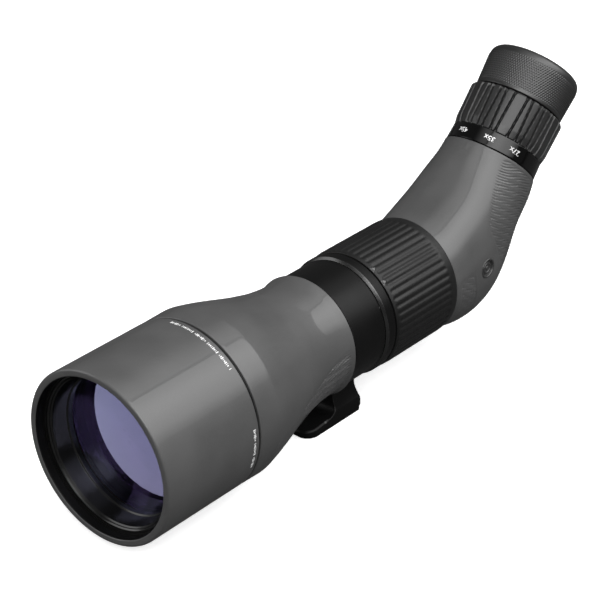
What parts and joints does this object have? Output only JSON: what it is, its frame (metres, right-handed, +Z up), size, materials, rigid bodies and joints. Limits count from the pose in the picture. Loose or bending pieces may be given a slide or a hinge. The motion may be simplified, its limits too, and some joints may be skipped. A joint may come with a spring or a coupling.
{
  "type": "spotting scope",
  "caption": "Angled spotting scope with a sliding sunshade, ribbed focus ring, rotating tripod collar with an L foot, and a zoom eyepiece with a twist-up eyecup.",
  "frame": {"origin": "mouth of the tripod thread, on the underside of the foot", "axes": "+Z up, the objective looks along -Y, the eyepiece rises at 45 degrees towards +Y and +Z, X = 0 is the plane of symmetry of the optics"},
  "size_m": [0.1014, 0.4019, 0.1682],
  "materials": {
    "hood": "satin",
    "armour": "satin",
    "black_metal": "matte",
    "satin_black": "satin",
    "gloss_black": "gloss",
    "nylon": "matte",
    "coated_glass": "coated",
    "prism_glass": "polished",
    "brass_foil": "plain",
    "steel": "satin",
    "bare_aluminium": "satin",
    "black_plastic": "matte",
    "grip_rubber": "satin",
    "eyecup_rubber": "matte"
  },
  "bodies": {
    "collar": {"tripod_collar": "satin_black", "collar_slip_rings": "nylon", "foot_thread_insert": "steel"},
    "lock_knob": {"collar_lock_screw": "steel", "collar_lock_knob": "black_plastic"},
    "scope": {"sunshade_glide_rings": "nylon", "front_tube": "black_metal", "barrel_armour": "armour", "objective_retainer": "black_metal", "objective_cell": "black_metal", "objective_front_lens": "coated_glass", "objective_rear_lens": "coated_glass", "objective_spacer": "brass_foil", "light_baffles": "black_metal", "mid_tube": "black_metal", "seat_flange": "satin_black", "prism_housing": "black_metal", "housing_armour": "armour", "purge_plug": "satin_black", "prism_cradle": "bare_aluminium", "roof_prism": "prism_glass", "prism_clamp": "steel", "cradle_screws": "steel", "prism_clamp_screws": "steel", "eyepiece_barrel": "black_metal", "field_stop": "black_metal", "zoom_guide_rods": "steel", "eye_lens_cell": "black_metal", "eye_lens": "coated_glass", "eye_lens_retainer": "black_metal"},
    "hood": {"sunshade": "hood"},
    "focus": {"focus_ring": "black_metal", "focus_grip": "grip_rubber"},
    "focus_carriage": {"focus_carrier": "black_metal", "focusing_lens": "coated_glass", "focus_lens_retainer": "black_metal", "focus_drive_pin": "steel"},
    "zoom": {"scale_ring": "gloss_black", "zoom_ring": "black_metal", "zoom_grip": "grip_rubber", "zoom_cam_sleeve": "bare_aluminium", "zoom_drive_pin": "steel"},
    "zoom_front_group": {"zoom_front_cell": "black_metal", "zoom_front_lens": "coated_glass"},
    "zoom_rear_group": {"zoom_rear_cell": "black_metal", "zoom_rear_lens": "coated_glass"},
    "eyecup_lift": {"eyecup_guide_ring": "nylon"},
    "eyecup": {"eyecup_core": "black_plastic", "eyecup_rubber": "eyecup_rubber"}
  },
  "joints": [
    {"name": "collar_rotation", "type": "hinge", "parent": "collar", "child": "scope", "pos_m": [0, 0.00985, 0.057], "axis": [0, 1, 0], "continuous": true},
    {"name": "lock_knob_turn", "type": "hinge", "parent": "collar", "child": "lock_knob", "pos_m": [-0.03464, 0.00985, 0.037], "axis": [-0.866, 0, -0.5], "range_deg": [-45, 315]},
    {"name": "sunshade_slide", "type": "slide", "parent": "scope", "child": "hood", "axis": [0, -1, 0], "range_m": [0, 0.038]},
    {"name": "focus_turn", "type": "hinge", "parent": "scope", "child": "focus", "pos_m": [0, 0.06, 0.057], "axis": [0, 1, 0], "range_deg": [-200, 200]},
    {"name": "focus_travel", "type": "slide", "parent": "scope", "child": "focus_carriage", "axis": [0, 1, 0], "range_m": [-0.0091, 0.0091]},
    {"name": "zoom_turn", "type": "hinge", "parent": "scope", "child": "zoom", "pos_m": [0, 0.1808, 0.1171], "axis": [0, 0.7071, 0.7071], "range_deg": [-55, 55]},
    {"name": "zoom_front_travel", "type": "slide", "parent": "scope", "child": "zoom_front_group", "axis": [0, 0.7071, 0.7071], "range_m": [-0.004, 0.004]},
    {"name": "zoom_rear_travel", "type": "slide", "parent": "scope", "child": "zoom_rear_group", "axis": [0, 0.7071, 0.7071], "range_m": [-0.0066, 0.0066]},
    {"name": "eyecup_twist", "type": "hinge", "parent": "eyecup_lift", "child": "eyecup", "pos_m": [0, 0.20202, 0.13832], "axis": [0, 0.7071, 0.7071], "range_deg": [0, 150]},
    {"name": "eyecup_rise", "type": "slide", "parent": "scope", "child": "eyecup_lift", "axis": [0, 0.7071, 0.7071], "range_m": [0, 0.0112]}
  ],
  "couplings": [
    {"joint": "focus_travel", "follows": "focus_turn", "m_per_rad": 0.002578},
    {"joint": "zoom_front_travel", "follows": "zoom_turn", "m_per_rad": 0.004063},
    {"joint": "zoom_rear_travel", "follows": "zoom_turn", "m_per_rad": -0.006771},
    {"joint": "eyecup_rise", "follows": "eyecup_twist", "m_per_rad": 0.004202}
  ]
}
